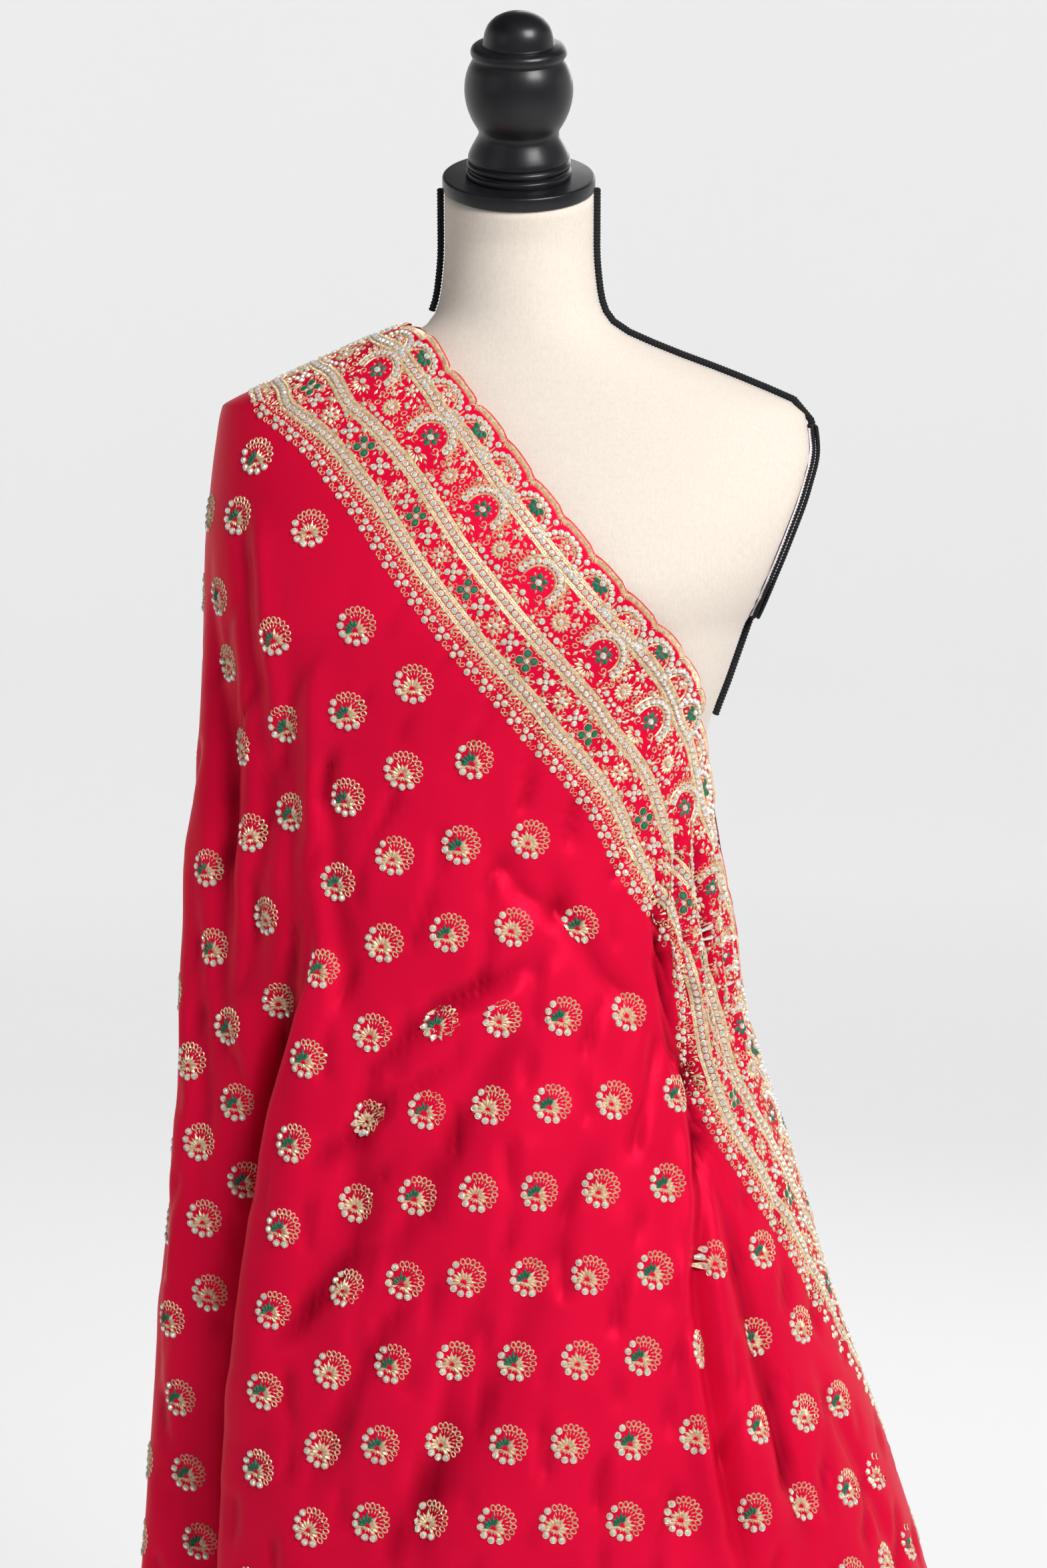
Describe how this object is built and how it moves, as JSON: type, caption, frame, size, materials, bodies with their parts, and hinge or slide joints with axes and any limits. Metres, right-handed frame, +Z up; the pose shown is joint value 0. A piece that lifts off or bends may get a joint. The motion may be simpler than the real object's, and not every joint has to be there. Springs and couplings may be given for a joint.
{
  "type": "satin sari on a dress form",
  "caption": "Crimson satin sari with an embroidered scalloped border, draped over one shoulder of a limbless linen dress form on a black stand.",
  "frame": {"origin": "centre of the round base's underside, on the floor", "axes": "+Z up along the pole, -Y the front of the dress form, +X the viewer's right as seen from the front"},
  "size_m": [0.6858, 0.5502, 1.6269],
  "materials": {
    "crimson_satin": "satin",
    "gold_border": "embroidered satin",
    "gold_thread": "metallic thread embroidery",
    "green_thread": "silk thread embroidery",
    "clear_stone": "faceted, foil backed",
    "linen_cover": "plain weave",
    "black_braid": "woven gimp",
    "black_lacquer": "satin lacquer"
  },
  "bodies": {
    "root": {"sari_front": "crimson_satin", "sari_side": "crimson_satin", "sari_left_fall": "crimson_satin", "sari_back": "crimson_satin", "sari_back_side": "crimson_satin", "border_front": "gold_border", "border_waist": "gold_border", "border_hip": "gold_border", "border_back": "gold_border", "form_torso": "linen_cover", "arm_plate_right": "linen_cover", "arm_plate_left": "linen_cover", "braid_neck_left": "black_braid", "braid_neck_shoulder": "black_braid", "braid_armhole": "black_braid", "braid_side_right": "black_braid", "neck_cap": "black_lacquer", "finial": "black_lacquer", "pole": "black_lacquer", "base": "black_lacquer"}
  },
  "joints": []
}
